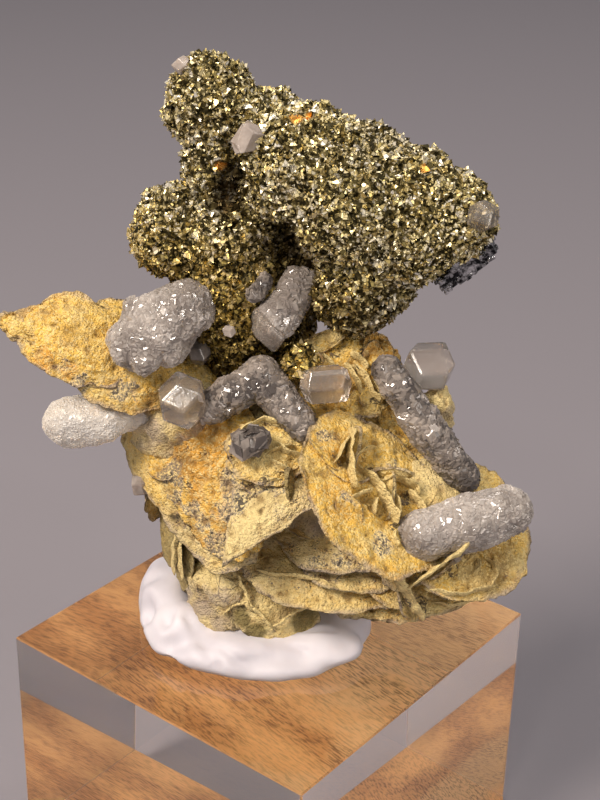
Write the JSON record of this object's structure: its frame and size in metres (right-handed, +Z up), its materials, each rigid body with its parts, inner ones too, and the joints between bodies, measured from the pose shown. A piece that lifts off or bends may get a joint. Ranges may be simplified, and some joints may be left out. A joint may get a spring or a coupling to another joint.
{
  "type": "calcite specimen",
  "caption": "Calcite crystals on a siderite rosette crowned by a drusy chalcopyrite mass, held by white putty on a clear block that stands on a thin wood-grain sheet.",
  "frame": {"origin": "middle of the wood-grain sheet's flat underside, below the block's middle", "axes": "+Z up; +X to the display's right and -Y towards its front; the block's square is turned 52 degrees about Z"},
  "size_m": [0.0534, 0.0534, 0.0866],
  "materials": {
    "wood_grain": "smooth brown grain",
    "acrylic": "clear polished acrylic",
    "putty": "soft satin white putty",
    "siderite": "grainy ochre",
    "chalcopyrite": "glittering drusy",
    "galena": "dark metallic, stepped",
    "calcite_pale": "translucent, glassy faces",
    "calcite_white": "milky, sugary",
    "calcite_smoky": "smoky, glassy faces",
    "calcite_clear": "clear, glassy faces"
  },
  "bodies": {
    "root": {"wood_grain_sheet": "wood_grain", "acrylic_block": "acrylic", "mounting_putty": "putty", "siderite_rosette": "siderite", "chalcopyrite_mass": "chalcopyrite", "chalcopyrite_bead": "chalcopyrite", "galena_crust": "galena", "calcite_wing_cluster": "calcite_pale", "calcite_under_wing_finger": "calcite_white", "calcite_smoky_chain": "calcite_smoky", "calcite_cavity_finger": "calcite_smoky", "calcite_striated_crystal": "calcite_smoky", "calcite_pale_crystal": "calcite_pale", "calcite_back_cube": "calcite_clear", "calcite_long_finger": "calcite_smoky", "calcite_lying_finger": "calcite_pale", "calcite_dark_crystal": "calcite_smoky", "calcite_tip_crystal": "calcite_clear", "calcite_flat_crystal": "calcite_pale", "calcite_top_bead": "calcite_pale", "calcite_column_bead": "calcite_pale", "calcite_edge_bead": "calcite_pale", "calcite_shaded_crystal": "calcite_smoky"}
  },
  "joints": []
}
